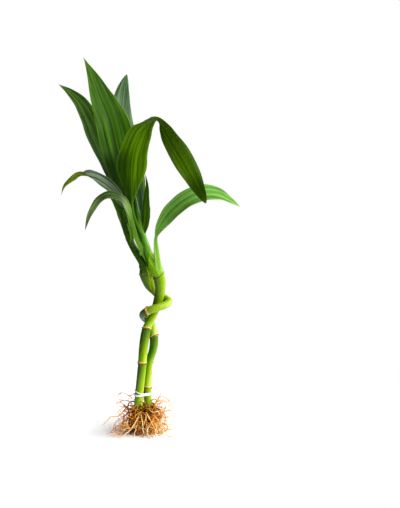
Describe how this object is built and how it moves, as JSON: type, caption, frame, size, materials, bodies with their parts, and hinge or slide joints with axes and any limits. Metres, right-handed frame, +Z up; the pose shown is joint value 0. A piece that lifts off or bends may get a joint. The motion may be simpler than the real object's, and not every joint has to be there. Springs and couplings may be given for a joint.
{
  "type": "lucky bamboo",
  "caption": "Rooted lucky bamboo: a straight and a coiled green cane tied low down with thread, standing on splayed roots, with long pointed leaves above.",
  "frame": {"origin": "middle of the flat spot under the roots, on the surface that the plant stands on", "axes": "+Z up along the canes, -Y towards the viewer of the picture, +X to that viewer's right"},
  "size_m": [0.1926, 0.1556, 0.3973],
  "materials": {
    "cane": "glossy green bark, dark green below each brown ring and pale above the next",
    "leaf": "satin living leaf with fine lengthwise veins",
    "roots": "rust brown inside, orange outside, cream at the tips, matt",
    "tie": "soft white thread"
  },
  "bodies": {
    "root": {"cane_straight": "cane", "cane_coiled": "cane", "leaf_tall": "leaf", "leaf_left": "leaf", "leaf_back_right": "leaf", "leaf_front": "leaf", "leaf_right": "leaf", "leaf_droop_upper": "leaf", "leaf_droop_lower": "leaf", "leaf_narrow": "leaf", "leaf_back": "leaf", "leaf_folded": "leaf", "root_mass": "roots", "tie": "tie"}
  },
  "joints": []
}
